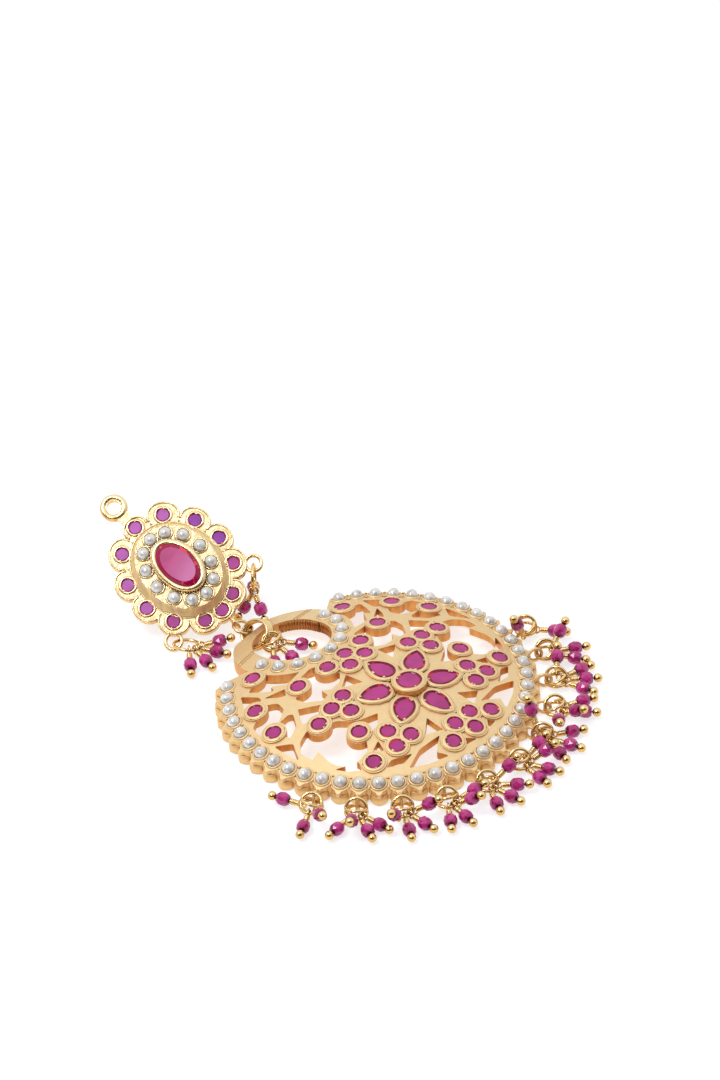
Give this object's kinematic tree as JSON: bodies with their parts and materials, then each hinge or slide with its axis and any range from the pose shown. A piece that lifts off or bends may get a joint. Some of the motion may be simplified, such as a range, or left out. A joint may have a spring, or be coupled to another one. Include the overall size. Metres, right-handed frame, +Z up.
{
  "type": "chandbali earring",
  "caption": "Chandbali earring lying face up: domed pierced crescent plate with a hoop, flower of cut stones, pearl rim, a leaning oval stud, and bead drops on jump rings.",
  "frame": {"origin": "middle of the whole earring's footprint, on the table that it lies on", "axes": "+Z up from the table; +Y from the fringe of the crescent plate towards the stud; +X to the plate's right as seen from above with the stud upwards"},
  "size_m": [0.0712, 0.1016, 0.0174],
  "materials": {
    "gold_metal": "polished yellow gold plating",
    "cut_stone": "pink-red cut glass stone, foil-backed",
    "bead_glass": "deep crimson faceted glass bead",
    "seed_pearl": "lustrous grey-white seed pearl"
  },
  "bodies": {
    "root": {"disc_plate": "gold_metal", "rim_pearls": "seed_pearl", "hoop_pearls": "seed_pearl", "flower_stone": "cut_stone", "petal_stone_1": "cut_stone", "petal_stone_2": "cut_stone", "petal_stone_3": "cut_stone", "petal_stone_4": "cut_stone", "petal_stone_5": "cut_stone", "petal_stone_6": "cut_stone", "tip_stones": "cut_stone", "vine_stones": "cut_stone", "stud_plate": "gold_metal", "stud_oval_stone": "cut_stone", "stud_pearls": "seed_pearl", "stud_stones": "cut_stone", "ear_nut": "gold_metal", "bail_ring": "gold_metal", "link_ring": "gold_metal", "fringe_rings": "gold_metal", "drop_01_pins": "gold_metal", "drop_02_pins": "gold_metal", "drop_03_pins": "gold_metal", "drop_04_pins": "gold_metal", "drop_05_pins": "gold_metal", "drop_06_pins": "gold_metal", "drop_07_pins": "gold_metal", "drop_08_pins": "gold_metal", "drop_09_pins": "gold_metal", "drop_10_pins": "gold_metal", "drop_11_pins": "gold_metal", "drop_01_beads": "bead_glass", "drop_02_beads": "bead_glass", "drop_03_beads": "bead_glass", "drop_04_beads": "bead_glass", "drop_05_beads": "bead_glass", "drop_06_beads": "bead_glass", "drop_07_beads": "bead_glass", "drop_08_beads": "bead_glass", "drop_09_beads": "bead_glass", "drop_10_beads": "bead_glass", "drop_11_beads": "bead_glass", "hoop_drop_ring": "gold_metal", "hoop_drop_pins": "gold_metal", "hoop_drop_beads": "bead_glass", "left_drop_ring": "gold_metal", "left_drop_pins": "gold_metal", "left_drop_beads": "bead_glass", "right_drop_ring": "gold_metal", "right_drop_pins": "gold_metal", "right_drop_beads": "bead_glass"}
  },
  "joints": []
}
